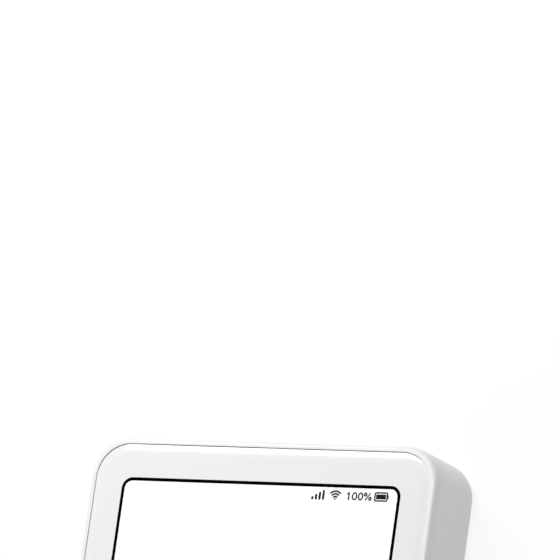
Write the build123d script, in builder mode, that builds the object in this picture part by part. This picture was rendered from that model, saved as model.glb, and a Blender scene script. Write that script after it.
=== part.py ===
"""Portable card payment terminal: a square white case with a touch display in its face.

The terminal lies on its back. +Z comes out of the display, +Y points to its top edge, +X to its
right side, and the origin is on the table under the middle of the case. Sizes are in millimetres.
Names in capitals are sizes and places. A pair is a size in X and Y, or a place as X and Y.
"""

from build123d import *

import os

# ---------------------------------------------------------------- driving dimensions
WIDTH = 84.0  # X, and the case is as deep in Y
CORNER_R = 8.6  # vertical edges of the case
RIM_SLOPE = (0.51, 1.55)  # slope outside the rim, across and down, before it is rounded
RIM_R = 0.9  # tight rounding at the top of that slope
RIM_FOOT_R = 5.5  # wide rounding from the slope into the side wall
BACK_R = 2.4  # rounding between the side walls and the back
WALL = 1.5  # side walls
CASE_BOTTOM = 0.6  # the feet hold the back this far off the table
FLOOR = 2.4  # inside face of the back
RIM = 19.3  # top of the case's rim
PANEL_TOP = 19.3  # top of the front panel and of the cover lens

SEAM_GAP = (0.03, 0.11)  # between the case's rim and the front panel, along X and along Y
SEAM_R = 7.6  # corner radius of that seam
BEVEL_WIDTH = 1.75  # sloping edge of the front panel, seen from above
BEVEL_DROP = 0.25
CROWN_R = 14.0  # large rounding where the slope meets the flat face
EDGE_R = 0.12  # small rounding of moulded edges
PANEL_UNDER = 17.9  # underside of the front panel's plate
SKIRT = 1.4  # thickness of the panel's locating skirt

SCREEN_Y = 2.98  # centre of the display window
WINDOW = (67.54, 60.1)
WINDOW_R = 2.45
FRAME_LINE = 0.66  # visible width of the black frame round the display
FRAME_LIP = 0.15  # thickness of the frame's lip, which lies over the stepped edge of the lens
LENS_STEP = 0.36  # width of that edge

LENS_LOW = 18.6  # underside of the cover lens
SENSOR_LOW, SENSOR_HIGH = 18.18, 18.36  # touch sensor
LCD_LOW, LCD_HIGH = 16.38, 18.16  # display glass
LIGHT_LOW, LIGHT_HIGH = 15.5, 16.35  # backlight
LCD_FRAME = (68.8, 61.4)
LCD_FRAME_LOW, LCD_FRAME_HIGH = 15.2, 17.85
CLEAR = 0.03  # hairline between parts that lie against each other

MID_LOW, MID_HIGH = 13.8, 15.0  # chassis plate
BOARD_LOW, BOARD_HIGH = 11.2, 12.2  # main circuit board
CARD_FLOOR, CARD_CEILING = 8.0, 9.3  # channel for the chip card
CARD_WIDTH = 54.6  # card of 53.98 with play
CARD_END = -3.9  # the card's leading edge stops here
CHIP_X = 3.1  # middle of the chip's contact field
CHIP_ROWS = (-15.25, -22.87)
CHIP_COLUMNS = (6.91, 4.37, 1.83, -0.71)

BUTTON_Z = 9.95
USB_Y, USB_Z = 14.0, 9.6
SLOT_Z = (CARD_FLOOR + CARD_CEILING) / 2
SCREW_AT = [(x, y) for x in (-33.0, 33.0) for y in (-32.0, 32.0)]
BOARD_SCREW_AT = [(-24.0, 24.0), (24.0, 24.0), (-34.5, -12.0), (34.5, -12.0)]
SPEAKER_AT = (-17.0, -17.0)
PADS_AT = (0.0, -33.0)
PAD_PITCH = 5.0
LABEL = (44.0, 26.0)
LABEL_Y = 12.0
CELL_AT = (-26.0, 0.0)
CELL_R, CELL_LOW, CELL_THICK = 6.25, 12.36, 2.0  # backup cell

INSIDE = WIDTH - 2 * WALL  # width of the cavity
PANEL = (INSIDE - 2 * SEAM_GAP[0], INSIDE - 2 * SEAM_GAP[1])
HALF = WIDTH / 2
FINISHED = []


# ---------------------------------------------------------------- shared building steps
def plate(size, radius, low, high, at=(0, 0), mode=Mode.ADD):
    """Adds or cuts a flat plate with rounded corners, between two heights."""
    with BuildSketch(Plane.XY.offset(low)) as outline:
        with Locations(at):
            if radius:
                RectangleRounded(*size, radius)
            else:
                Rectangle(*size)
    extrude(outline.sketch, amount=high - low, mode=mode)


def disc(radius, low, high, at=((0, 0),), mode=Mode.ADD):
    """Adds or cuts upright cylinders between two heights, one at each place."""
    with BuildSketch(Plane.XY.offset(low)) as outline:
        with Locations(*at):
            Circle(radius)
    extrude(outline.sketch, amount=high - low, mode=mode)


def side_slot(length, height, middle, start, end, mode=Mode.ADD):
    """Adds or cuts a slot shape that lies across X: middle is its (Y, Z), start and end its X."""
    with BuildSketch(Plane.YZ.offset(start)) as outline:
        with Locations(middle):
            SlotOverall(length, height)
    extrude(outline.sketch, amount=end - start, mode=mode)


def bent_strip(points, radius, thickness, width, middle=0.0):
    """Adds a thin strip bent along points in the YZ plane, width wide in X about middle."""
    with BuildSketch(Plane.YZ.offset(middle)) as section:
        with BuildLine() as route:
            FilletPolyline(*points, radius=radius)
        trace(route.line, line_width=thickness)
    extrude(section.sketch, amount=width / 2, both=True)


def finish(part, name):
    """Labels a piece and writes it out."""
    part.label = name
    export_step(part, f"parts/{name}.step")
    FINISHED.append(name)


os.makedirs("parts", exist_ok=True)

# ---------------------------------------------------------------- outer case
POST_R, POST_TOP = 3.4, 9.0
SCREW_HEAD_R, SCREW_HEAD_LOW, SCREW_HEAD_HIGH = 1.8, 1.3, 2.9
SCREW_R, SCREW_TOP = 0.8, 12.6
SCREW_BORE_R = 1.0
FOOT_R, FOOT_TOP = 4.6, 1.05
SLOT_TRIM = (58.4, 4.4, 1.4)  # width, height and corner radius
BUTTON = (11.0, 3.4)
USB_OPENING = (9.6, 3.9)
DISH_DEPTH = 0.35  # of the shallow dishes round the button and the charging socket
GRILLE_R = 0.55
GRILLE_RINGS = ((2.4, 6), (4.8, 12))  # radius and number of holes
PAD_RECESS = (24.0, 6.0, 0.5)  # length, width and depth
PAD_HOLE_R, PAD_R = 1.3, 1.2
LABEL_RECESS = 0.2

with BuildPart() as rear_case:
    plate((WIDTH, WIDTH), CORNER_R, CASE_BOTTOM, RIM)
    fillet(rear_case.faces().sort_by(Axis.Z)[0].edges(), BACK_R)
    rim_face = rear_case.faces().sort_by(Axis.Z)[-1]
    chamfer(rim_face.edges(), *RIM_SLOPE, reference=rim_face)
    fillet(rear_case.faces().sort_by(Axis.Z)[-1].edges(), RIM_R)
    slope_foot_z = RIM - RIM_SLOPE[1]
    fillet(
        rear_case.edges().filter_by_position(Axis.Z, slope_foot_z - 0.01, slope_foot_z + 0.01),
        RIM_FOOT_R,
    )
    plate((INSIDE, INSIDE), SEAM_R, FLOOR, RIM, mode=Mode.SUBTRACT)
    # power button's opening in the right wall, in a shallow dish
    side_slot(BUTTON[0] + 0.4, BUTTON[1] + 0.4, (0, BUTTON_Z), HALF - 3, HALF + 1, Mode.SUBTRACT)
    side_slot(
        BUTTON[0] + 3.4, BUTTON[1] + 3.0, (0, BUTTON_Z), HALF - DISH_DEPTH, HALF + 1, Mode.SUBTRACT
    )
    fillet(rear_case.faces().sort_by(Axis.X)[-1].inner_wires()[0].edges(), 2 * EDGE_R)
    # charging socket's opening in the left wall, in a shallow dish
    side_slot(*USB_OPENING, (USB_Y, USB_Z), -HALF - 1, -HALF + 3, Mode.SUBTRACT)
    side_slot(
        USB_OPENING[0] + 2.2, USB_OPENING[1] + 2.2, (USB_Y, USB_Z), -HALF - 1, -HALF + DISH_DEPTH,
        Mode.SUBTRACT,
    )
    fillet(rear_case.faces().sort_by(Axis.X)[0].inner_wires()[0].edges(), 2 * EDGE_R)
    # pockets of the feet, recess of the charging pads, and the label's recess
    disc(FOOT_R + 0.1, CASE_BOTTOM, FOOT_TOP + 0.05, SCREW_AT, Mode.SUBTRACT)
    with BuildSketch(Plane.XY.offset(CASE_BOTTOM)) as pad_recess:
        with Locations(PADS_AT):
            SlotOverall(*PAD_RECESS[:2])
    extrude(pad_recess.sketch, amount=PAD_RECESS[2], mode=Mode.SUBTRACT)
    plate(LABEL, 2.0, CASE_BOTTOM, CASE_BOTTOM + LABEL_RECESS, (0, LABEL_Y), Mode.SUBTRACT)
    # speaker grille: one hole with rings of six and twelve round it
    disc(GRILLE_R, CASE_BOTTOM, FLOOR, [SPEAKER_AT], Mode.SUBTRACT)
    with BuildSketch(Plane.XY.offset(CASE_BOTTOM)) as grille:
        with Locations(SPEAKER_AT):
            for ring_radius, holes in GRILLE_RINGS:
                with PolarLocations(ring_radius, holes):
                    Circle(GRILLE_R)
    extrude(grille.sketch, amount=FLOOR - CASE_BOTTOM, mode=Mode.SUBTRACT)
    fillet([
        edge
        for wire in rear_case.faces().sort_by(Axis.Z)[0].inner_wires()
        for edge in wire.edges()
    ], EDGE_R)
    with BuildSketch(Plane.XY.offset(CASE_BOTTOM)) as pad_holes:
        with Locations(PADS_AT):
            with GridLocations(PAD_PITCH, 0, 4, 1):
                Circle(PAD_HOLE_R)
    extrude(pad_holes.sketch, amount=FLOOR - CASE_BOTTOM, mode=Mode.SUBTRACT)
    # screw posts and their counterbores
    disc(POST_R, FLOOR, POST_TOP, SCREW_AT)
    disc(SCREW_BORE_R, SCREW_HEAD_HIGH, POST_TOP, SCREW_AT, Mode.SUBTRACT)
    disc(SCREW_HEAD_R + 0.2, FOOT_TOP, SCREW_HEAD_HIGH, SCREW_AT, Mode.SUBTRACT)
    # ribs beside the battery
    for side in (-1, 1):
        plate((1.2, 24), 0, FLOOR, 5.0, (side * 28.9, 16))
    # mouth of the card slot in the near wall
    with BuildSketch(Plane.XZ.offset(HALF - 2.5)) as mouth:
        with Locations((0, SLOT_Z)):
            RectangleRounded(SLOT_TRIM[0] + 0.2, SLOT_TRIM[1] + 0.2, SLOT_TRIM[2] + 0.1)
    extrude(mouth.sketch, amount=4, mode=Mode.SUBTRACT)
    fillet(rear_case.faces().sort_by(Axis.Y)[0].inner_wires()[0].edges(), EDGE_R)
finish(rear_case.part, "rear_case")

with BuildPart() as rubber_feet:
    disc(FOOT_R, 0, FOOT_TOP, SCREW_AT)
    fillet(rubber_feet.edges().group_by(Axis.Z)[0], 0.3)
finish(rubber_feet.part, "rubber_feet")

with BuildPart() as case_screws:
    disc(SCREW_HEAD_R, SCREW_HEAD_LOW, SCREW_HEAD_HIGH, SCREW_AT)
    disc(SCREW_R, SCREW_HEAD_HIGH, SCREW_TOP, SCREW_AT)
    with BuildSketch(Plane.XY.offset(SCREW_HEAD_LOW)) as drive:
        with Locations(*SCREW_AT):
            RegularPolygon(0.85, 6)
    extrude(drive.sketch, amount=0.8, mode=Mode.SUBTRACT)
finish(case_screws.part, "case_screws")

with BuildPart() as rating_label:
    label_low = CASE_BOTTOM + 0.05
    label_high = CASE_BOTTOM + LABEL_RECESS - 0.01
    plate((LABEL[0] - 0.4, LABEL[1] - 0.4), 1.8, label_low, label_high, (0, LABEL_Y))
finish(rating_label.part, "rating_label")

# ---------------------------------------------------------------- face: panel, frame, lens
with BuildPart() as front_panel:
    plate(PANEL, SEAM_R, PANEL_UNDER, PANEL_TOP)
    chamfer(front_panel.faces().sort_by(Axis.Z)[-1].edges(), BEVEL_DROP, BEVEL_WIDTH)
    fillet(front_panel.faces().sort_by(Axis.Z)[-1].edges(), CROWN_R)
    slope_foot = front_panel.edges().filter_by_position(
        Axis.Z, PANEL_TOP - BEVEL_DROP - 0.01, PANEL_TOP - BEVEL_DROP + 0.01
    )
    fillet(slope_foot, EDGE_R)
    plate(PANEL, SEAM_R, MID_HIGH + 0.05, PANEL_UNDER)
    inside_skirt = (PANEL[0] - 2 * SKIRT, PANEL[1] - 2 * SKIRT)
    plate(inside_skirt, SEAM_R - SKIRT, MID_HIGH + 0.05, PANEL_UNDER, mode=Mode.SUBTRACT)
    plate(WINDOW, WINDOW_R, PANEL_UNDER, PANEL_TOP, (0, SCREEN_Y), Mode.SUBTRACT)
    fillet(front_panel.faces().sort_by(Axis.Z)[-1].inner_wires()[0].edges(), EDGE_R / 2)
finish(front_panel.part, "front_panel")

GASKET = (WINDOW[0] - 2 * CLEAR, WINDOW[1] - 2 * CLEAR)
SEEN = (GASKET[0] - 2 * FRAME_LINE, GASKET[1] - 2 * FRAME_LINE)  # inside the frame
SEEN_R = WINDOW_R - FRAME_LINE
LENS = (SEEN[0] - 2 * CLEAR, SEEN[1] - 2 * CLEAR)
LENS_R = SEEN_R - CLEAR
LENS_FOOT = (LENS[0] + 2 * LENS_STEP, LENS[1] + 2 * LENS_STEP)
FOOT_CORNER_R = LENS_R + LENS_STEP
LIP_HIGH = PANEL_TOP - CLEAR
LIP_LOW = LIP_HIGH - FRAME_LIP
LAYER = (LENS_FOOT[0] - 0.04, LENS_FOOT[1] - 0.04)  # parts inside the display's metal frame
LAYER_R = FOOT_CORNER_R - 0.02

with BuildPart() as screen_gasket:
    plate(GASKET, WINDOW_R - CLEAR, PANEL_UNDER, LIP_HIGH, (0, SCREEN_Y))
    plate(SEEN, SEEN_R, LIP_LOW, LIP_HIGH, (0, SCREEN_Y), Mode.SUBTRACT)
    opening = (LENS_FOOT[0] + 2 * CLEAR, LENS_FOOT[1] + 2 * CLEAR)
    plate(opening, FOOT_CORNER_R + CLEAR, PANEL_UNDER, LIP_LOW, (0, SCREEN_Y), Mode.SUBTRACT)
finish(screen_gasket.part, "screen_gasket")

with BuildPart() as cover_lens:
    plate(LENS_FOOT, FOOT_CORNER_R, LENS_LOW, LIP_LOW - CLEAR, (0, SCREEN_Y))
    plate(LENS, LENS_R, LIP_LOW - CLEAR, PANEL_TOP, (0, SCREEN_Y))
    fillet(cover_lens.faces().sort_by(Axis.Z)[-1].edges(), EDGE_R / 2)
finish(cover_lens.part, "cover_lens")

# ---------------------------------------------------------------- display stack
with BuildPart() as touch_sensor:
    plate(LAYER, LAYER_R, SENSOR_LOW, SENSOR_HIGH, (0, SCREEN_Y))
finish(touch_sensor.part, "touch_sensor")

with BuildPart() as lcd_glass:
    plate(LAYER, LAYER_R, LCD_LOW, LCD_HIGH, (0, SCREEN_Y))
finish(lcd_glass.part, "lcd_glass")

with BuildPart() as backlight:
    plate(LAYER, 1.0, LIGHT_LOW, LIGHT_HIGH, (0, SCREEN_Y))
finish(backlight.part, "backlight")

with BuildPart() as lcd_frame:
    plate(LCD_FRAME, 1.5, LCD_FRAME_LOW, LCD_FRAME_HIGH, (0, SCREEN_Y))
    plate(LENS_FOOT, 1.02, LIGHT_LOW - CLEAR, LCD_FRAME_HIGH, (0, SCREEN_Y), Mode.SUBTRACT)
finish(lcd_frame.part, "lcd_frame")

with BuildPart() as lcd_foam:
    low, high = MID_HIGH + 0.02, LCD_FRAME_LOW - 0.02
    plate((LCD_FRAME[0] - 0.8, LCD_FRAME[1] - 0.8), 1.5, low, high, (0, SCREEN_Y))
    plate((62.0, 54.6), 1.0, low, high, (0, SCREEN_Y), Mode.SUBTRACT)
finish(lcd_foam.part, "lcd_foam")

FLEX_HIGH, FLEX_LOW = 15.9, 12.8
FLEX_FAR = -29.8  # where it turns down through the chassis plate
with BuildPart() as lcd_flex:
    flex_route = [
        (SCREEN_Y - LCD_FRAME[1] / 2 - 0.02, FLEX_HIGH),
        (FLEX_FAR, FLEX_HIGH),
        (FLEX_FAR, FLEX_LOW),
        (FLEX_FAR - 1.38, FLEX_LOW),
    ]
    bent_strip(flex_route, 0.6, 0.15, 14.0)
finish(lcd_flex.part, "lcd_flex")

# ---------------------------------------------------------------- contactless antenna
RING_OUT, RING_IN = 77.2, 69.6  # fits between the panel's skirt and the display
RING_HIGH = PANEL_UNDER - 0.05
RING_LOW = RING_HIGH - 0.2
COIL_TURNS, COIL_STEP, COIL_TRACE = 4, 0.85, 0.5
COIL_HIGH, COIL_THICK = RING_LOW - 0.01, 0.09
FERRITE_HIGH, FERRITE_LOW = COIL_HIGH - 0.12, COIL_HIGH - 0.39
with BuildPart() as nfc_antenna:
    plate((RING_OUT, RING_OUT), 5.8, RING_LOW, RING_HIGH)
    plate((RING_IN, RING_IN), 2.5, RING_LOW, RING_HIGH, mode=Mode.SUBTRACT)
finish(nfc_antenna.part, "nfc_antenna")

with BuildPart() as nfc_coil:
    low = COIL_HIGH - COIL_THICK
    for turn in range(COIL_TURNS):
        outer = RING_OUT - 0.6 - 2 * COIL_STEP * turn
        inner = outer - 2 * COIL_TRACE
        plate((outer, outer), 5.5 - COIL_STEP * turn, low, COIL_HIGH)
        plate((inner, inner), 5.0 - COIL_STEP * turn, low, COIL_HIGH, mode=Mode.SUBTRACT)
    plate((1.6, 6.0), 0, low, COIL_HIGH, (6, -36.8), Mode.SUBTRACT)  # the coil's two ends
finish(nfc_coil.part, "nfc_coil")

with BuildPart() as ferrite_sheet:
    plate((RING_OUT - 0.2, RING_OUT - 0.2), 5.7, FERRITE_LOW, FERRITE_HIGH)
    plate((RING_IN + 0.2, RING_IN + 0.2), 2.5, FERRITE_LOW, FERRITE_HIGH, mode=Mode.SUBTRACT)
finish(ferrite_sheet.part, "ferrite_sheet")

# ---------------------------------------------------------------- chassis and circuit board
BOSS_R = 2.7
BOARD_SCREW_R, BOARD_SCREW_TOP = 0.6, 14.2
BOARD_HEAD_HIGH = BOARD_LOW - 0.02
with BuildPart() as mid_frame:
    plate((INSIDE - 0.44, INSIDE - 0.44), SEAM_R - 0.2, MID_LOW, MID_HIGH)
    disc(BOSS_R, POST_TOP + 0.05, MID_LOW, SCREW_AT)
    disc(2.0, BOARD_HIGH, MID_LOW, BOARD_SCREW_AT)
    disc(SCREW_R + CLEAR, POST_TOP, SCREW_TOP + 0.4, SCREW_AT, Mode.SUBTRACT)
    disc(BOARD_SCREW_R + 0.02, BOARD_HIGH, BOARD_SCREW_TOP + 0.2, BOARD_SCREW_AT, Mode.SUBTRACT)
    # passage of the display's ribbon, clearance of the backup cell, and two shallow pockets
    plate((17.0, 2.6), 0.6, MID_LOW, MID_HIGH, (0, FLEX_FAR - 0.1), Mode.SUBTRACT)
    disc(CELL_R + 1.15, MID_LOW, MID_HIGH, [CELL_AT], Mode.SUBTRACT)
    for x in (-12, 12):
        plate((18.0, 10.0), 1.5, MID_HIGH - 0.6, MID_HIGH, (x, -12), Mode.SUBTRACT)
finish(mid_frame.part, "mid_frame")

with BuildPart() as main_board:
    plate((76.4, 76.4), 6.0, BOARD_LOW, BOARD_HIGH)
    disc(BOSS_R + 0.2, BOARD_LOW, BOARD_HIGH, SCREW_AT, Mode.SUBTRACT)
    disc(0.75, BOARD_LOW, BOARD_HIGH, BOARD_SCREW_AT, Mode.SUBTRACT)
finish(main_board.part, "main_board")

with BuildPart() as board_screws:
    disc(1.5, BOARD_HEAD_HIGH - 0.88, BOARD_HEAD_HIGH, BOARD_SCREW_AT)
    disc(BOARD_SCREW_R, BOARD_HEAD_HIGH, BOARD_SCREW_TOP, BOARD_SCREW_AT)
finish(board_screws.part, "board_screws")

CAN_A, CAN_B = (0.0, 13.0), (-20.0, -20.0)
CAN_TOP, CAN_SHEET = 13.65, 0.2
with BuildPart() as board_chips:
    plate((12, 12), 0, BOARD_HIGH, 13.3, (-8, 13))
    plate((9, 11), 0, BOARD_HIGH, 13.2, (8, 13))
    plate((6, 6), 0, BOARD_HIGH, 13.1, CAN_B)
finish(board_chips.part, "board_chips")

with BuildPart() as shield_cans:
    for size, at in (((34, 20), CAN_A), ((16, 14), CAN_B)):
        plate(size, 0.8, BOARD_HIGH, CAN_TOP, at)
        hollow = (size[0] - 2 * CAN_SHEET, size[1] - 2 * CAN_SHEET)
        plate(hollow, 0.6, BOARD_HIGH, CAN_TOP - CAN_SHEET, at, Mode.SUBTRACT)
finish(shield_cans.part, "shield_cans")

MODULE_AT, MODULE_STEP = (18.0, -10.0), 12.9
with BuildPart() as cellular_module:
    plate((24, 24), 0.5, BOARD_HIGH, MODULE_STEP, MODULE_AT)
    plate((21.5, 21.5), 0.8, MODULE_STEP, 13.6, MODULE_AT)
finish(cellular_module.part, "cellular_module")

SIM = (12.3, 8.8)
SIM_X, SIM_LOW, SIM_HIGH = -2.0, 12.48, 13.15
with BuildPart() as sim_socket:
    plate((14, 12), 0.4, BOARD_HIGH, 13.5, (SIM_X, -22))
    low, high = SIM_LOW - CLEAR, SIM_HIGH + 0.05
    plate((SIM[0] + 0.3, SIM[1] + 1.2), 0, low, high, (SIM_X, -23), Mode.SUBTRACT)
finish(sim_socket.part, "sim_socket")

with BuildPart() as sim_card:
    plate(SIM, 1.0, SIM_LOW, SIM_HIGH, (SIM_X, -22.5))
finish(sim_card.part, "sim_card")

with BuildPart() as cell_holder:
    holder_top = CELL_LOW + 0.6 * CELL_THICK
    disc(CELL_R + 0.85, BOARD_HIGH, holder_top, [CELL_AT])
    disc(CELL_R + 0.15, CELL_LOW - 0.01, holder_top, [CELL_AT], Mode.SUBTRACT)
finish(cell_holder.part, "cell_holder")

with BuildPart() as backup_cell:
    disc(CELL_R, CELL_LOW, CELL_LOW + CELL_THICK, [CELL_AT])
    fillet(backup_cell.edges(), 0.3)
finish(backup_cell.part, "backup_cell")

with BuildPart() as board_connectors:
    plate((16, 3.0), 0, BOARD_HIGH, 13.4, (0, -32.7))
    plate((6, 3), 0, BOARD_HIGH, 13.2, (6, 34))
    plate((5, 7), 0, 8.6, BOARD_LOW, (33, 10))
    plate((4, 6), 0, 8.9, BOARD_LOW, (-33, -22))
finish(board_connectors.part, "board_connectors")

with BuildPart() as tamper_pucks:
    disc(1.5, BOARD_HIGH, MID_LOW, [(-34, 14), (34, 14), (-14, -34.5), (14, -34.5)])
finish(tamper_pucks.part, "tamper_pucks")

# ---------------------------------------------------------------- power: battery and charging
BATTERY = (56.0, 33.4, 6.8)
BATTERY_LOW, BATTERY_Y = 2.6, 18.5
with BuildPart() as battery_pack:
    plate(BATTERY[:2], 2.0, BATTERY_LOW, BATTERY_LOW + BATTERY[2], (0, BATTERY_Y))
    fillet(battery_pack.edges().group_by(Axis.Z)[0], 1.0)
    fillet(battery_pack.edges().group_by(Axis.Z)[-1], 1.0)
finish(battery_pack.part, "battery_pack")

with BuildPart() as battery_tape:
    plate((40, 24), 1.0, FLOOR + 0.02, BATTERY_LOW - CLEAR, (0, BATTERY_Y))
finish(battery_tape.part, "battery_tape")

with BuildPart() as battery_leads:
    lead_start, lead_x, lead_z = BATTERY[0] / 2 + 0.05, 33.0, 6.5
    for y in (9.0, 11.0):
        with BuildLine(Plane.XZ.offset(-y)) as lead_route:
            FilletPolyline((lead_start, lead_z), (lead_x, lead_z), (lead_x, 8.58), radius=1.5)
        with BuildSketch(Plane(origin=(lead_start, y, lead_z), z_dir=(1, 0, 0))) as lead_section:
            Circle(0.45)
        sweep(lead_section.sketch, path=lead_route.line)
finish(battery_leads.part, "battery_leads")

PAD_LOW, PAD_HIGH = 0.85, 4.0
with BuildPart() as charge_pads:
    with BuildSketch(Plane.XY.offset(PAD_LOW)) as pad_faces:
        with Locations(PADS_AT):
            with GridLocations(PAD_PITCH, 0, 4, 1):
                Circle(PAD_R)
    extrude(pad_faces.sketch, amount=PAD_HIGH - PAD_LOW)
    fillet(charge_pads.edges().group_by(Axis.Z)[0], 0.25)
finish(charge_pads.part, "charge_pads")

with BuildPart() as pad_holder:
    plate((24, 7), 1.0, FLOOR + CLEAR, PAD_HIGH + CLEAR, PADS_AT)
    with BuildSketch(Plane.XY.offset(FLOOR)) as holder_holes:
        with Locations(PADS_AT):
            with GridLocations(PAD_PITCH, 0, 4, 1):
                Circle(PAD_R + CLEAR)
    extrude(holder_holes.sketch, amount=2, mode=Mode.SUBTRACT)
finish(pad_holder.part, "pad_holder")

RIBBON_Z, RIBBON_UP_Y = 4.15, -0.6  # along the back, then up to the board
with BuildPart() as charge_ribbon:
    ribbon_route = [(-35.5, RIBBON_Z), (RIBBON_UP_Y, RIBBON_Z), (RIBBON_UP_Y, BOARD_LOW - 0.05)]
    bent_strip(ribbon_route, 1.0, 0.15, 6.0)
finish(charge_ribbon.part, "charge_ribbon")

USB_MOUTH, USB_BACK, USB_WALL = -41.2, -33.9, 0.3
USB_INSIDE = (8.34, 2.6)
with BuildPart() as usb_shell:
    usb_outside = [size + 2 * USB_WALL for size in USB_INSIDE]
    side_slot(*usb_outside, (USB_Y, USB_Z), USB_MOUTH, USB_BACK)
    side_slot(*USB_INSIDE, (USB_Y, USB_Z), USB_MOUTH, USB_BACK - 0.4, Mode.SUBTRACT)
    fillet(usb_shell.faces().sort_by(Axis.X)[0].edges(), EDGE_R)
finish(usb_shell.part, "usb_shell")

with BuildPart() as usb_tongue:
    with BuildSketch(Plane.YZ.offset(USB_MOUTH + 0.8)) as tongue:
        with Locations((USB_Y, USB_Z)):
            RectangleRounded(6.6, 0.7, 0.2)
    extrude(tongue.sketch, amount=6.08)
finish(usb_tongue.part, "usb_tongue")

# ---------------------------------------------------------------- chip card reader
CARD_RAIL = 1.5
GUIDE_LOW = 6.9
GUIDE_NEAR = -39.9
guide_deep = CARD_END + 1.0 - GUIDE_NEAR
guide_y = (GUIDE_NEAR + CARD_END + 1.0) / 2
PLUNGER_X = 18.0

with BuildPart() as card_guide:
    plate((CARD_WIDTH + 2 * CARD_RAIL, guide_deep), 0, GUIDE_LOW, CARD_CEILING - 0.05, (0, guide_y))
    channel_y = (GUIDE_NEAR + CARD_END) / 2
    plate(
        (CARD_WIDTH, CARD_END - GUIDE_NEAR), 0, CARD_FLOOR, CARD_CEILING, (0, channel_y), Mode.SUBTRACT
    )
    plate((3.0, 2.0), 0, CARD_FLOOR, CARD_CEILING, (PLUNGER_X, CARD_END + 0.5), Mode.SUBTRACT)
    disc(1.6, FLOOR + CLEAR, GUIDE_LOW, [(x, y) for x in (-25, 25) for y in (-35.5, -7.5)])
finish(card_guide.part, "card_guide")

with BuildPart() as slot_trim:
    with BuildSketch(Plane.XZ.offset(HALF - 2.0)) as trim_outline:
        with Locations((0, SLOT_Z)):
            RectangleRounded(*SLOT_TRIM)
    extrude(trim_outline.sketch, amount=1.9)
    with BuildSketch(Plane.XZ.offset(HALF - 3)) as trim_slot:
        with Locations((0, SLOT_Z)):
            RectangleRounded(CARD_WIDTH + 0.2, 1.4, 0.4)
    extrude(trim_slot.sketch, amount=4, mode=Mode.SUBTRACT)
    trim_face = slot_trim.faces().sort_by(Axis.Y)[0]
    fillet(trim_face.outer_wire().edges(), EDGE_R)
    chamfer(slot_trim.faces().sort_by(Axis.Y)[0].inner_wires()[0].edges(), 0.7)
finish(slot_trim.part, "slot_trim")

SLOT_LONG = 6.0
with BuildPart() as smartcard_block:
    plate((22, 20), 1.0, CARD_CEILING, BOARD_LOW, (CHIP_X, sum(CHIP_ROWS) / 2))
    for row in CHIP_ROWS:
        for column in CHIP_COLUMNS:
            slot_y = row - 3.65 + SLOT_LONG / 2
            plate((1.4, SLOT_LONG), 0, CARD_CEILING, 10.95, (column, slot_y), Mode.SUBTRACT)
finish(smartcard_block.part, "smartcard_block")

with BuildPart() as card_contacts:
    for row in CHIP_ROWS:
        leaf = [(row - 3.63, 10.3), (row - 2.3, 10.3), (row, 8.3), (row + 1.3, 9.1)]
        for column in CHIP_COLUMNS:
            bent_strip(leaf, 0.5, 0.12, 0.9, column)
finish(card_contacts.part, "card_contacts")

with BuildPart() as card_switch:
    plate((6.0, 4.0), 0.4, 7.9, BOARD_LOW, (PLUNGER_X, -0.6))
    plate((2.4, 3.1), 0, 7.95, 9.15, (PLUNGER_X, -1.15), Mode.SUBTRACT)
finish(card_switch.part, "card_switch")

with BuildPart() as card_plunger:
    plate((2.0, 3.7), 0, 8.15, 8.95, (PLUNGER_X, -3.05))
    fillet(card_plunger.faces().sort_by(Axis.Y)[0].edges(), 0.25)
finish(card_plunger.part, "card_plunger")

# ---------------------------------------------------------------- power button and its switch
KEY_FACE, KEY_FLANGE, KEY_BACK, STEM_END = 41.9, 40.2, 39.7, 39.32  # places along X
with BuildPart() as power_button:
    side_slot(*BUTTON, (0, BUTTON_Z), KEY_FLANGE, KEY_FACE)
    fillet(power_button.faces().sort_by(Axis.X)[-1].edges(), 0.35)
    side_slot(BUTTON[0] + 2.0, BUTTON[1] + 1.8, (0, BUTTON_Z), KEY_BACK, KEY_FLANGE)
    with BuildSketch(Plane.YZ.offset(STEM_END)) as stem:
        with Locations((0, BUTTON_Z)):
            Rectangle(3.0, 1.6)
    extrude(stem.sketch, amount=KEY_BACK - STEM_END)
finish(power_button.part, "power_button")

with BuildPart() as button_gasket:
    near, far = KEY_FLANGE + 0.02, KEY_FLANGE + 0.2
    side_slot(BUTTON[0] + 3.0, BUTTON[1] + 2.6, (0, BUTTON_Z), near, far)
    side_slot(BUTTON[0] + 0.5, BUTTON[1] + 0.5, (0, BUTTON_Z), near, far, Mode.SUBTRACT)
finish(button_gasket.part, "button_gasket")

with BuildPart() as side_switch:
    plate((2.4, 6.0), 0.3, 8.7, BOARD_LOW, (37.2, 0))
    with BuildSketch(Plane.YZ.offset(36.9)) as pocket:
        with Locations((0, BUTTON_Z)):
            Rectangle(3.0, 1.5)
    extrude(pocket.sketch, amount=2, mode=Mode.SUBTRACT)
finish(side_switch.part, "side_switch")

with BuildPart() as switch_plunger:
    with BuildSketch(Plane.YZ.offset(37.6)) as plunger:
        with Locations((0, BUTTON_Z)):
            Rectangle(2.6, 1.1)
    extrude(plunger.sketch, amount=1.7)
finish(switch_plunger.part, "switch_plunger")

# ---------------------------------------------------------------- sound and radio
SPEAKER_LOW, SPEAKER_RIM, SPEAKER_BACK = 2.75, 5.6, 6.3
ANTENNA_LOW, ANTENNA_THICK = 3.6, 0.2
ANTENNA_FROM_MIDDLE = INSIDE / 2 - 0.12  # stuck to the inside of the walls
with BuildPart() as speaker:
    disc(9.0, SPEAKER_LOW, SPEAKER_RIM, [SPEAKER_AT])
    disc(6.0, SPEAKER_RIM, SPEAKER_BACK, [SPEAKER_AT])
    disc(7.6, SPEAKER_LOW, SPEAKER_LOW + 0.4, [SPEAKER_AT], Mode.SUBTRACT)
finish(speaker.part, "speaker")

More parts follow.
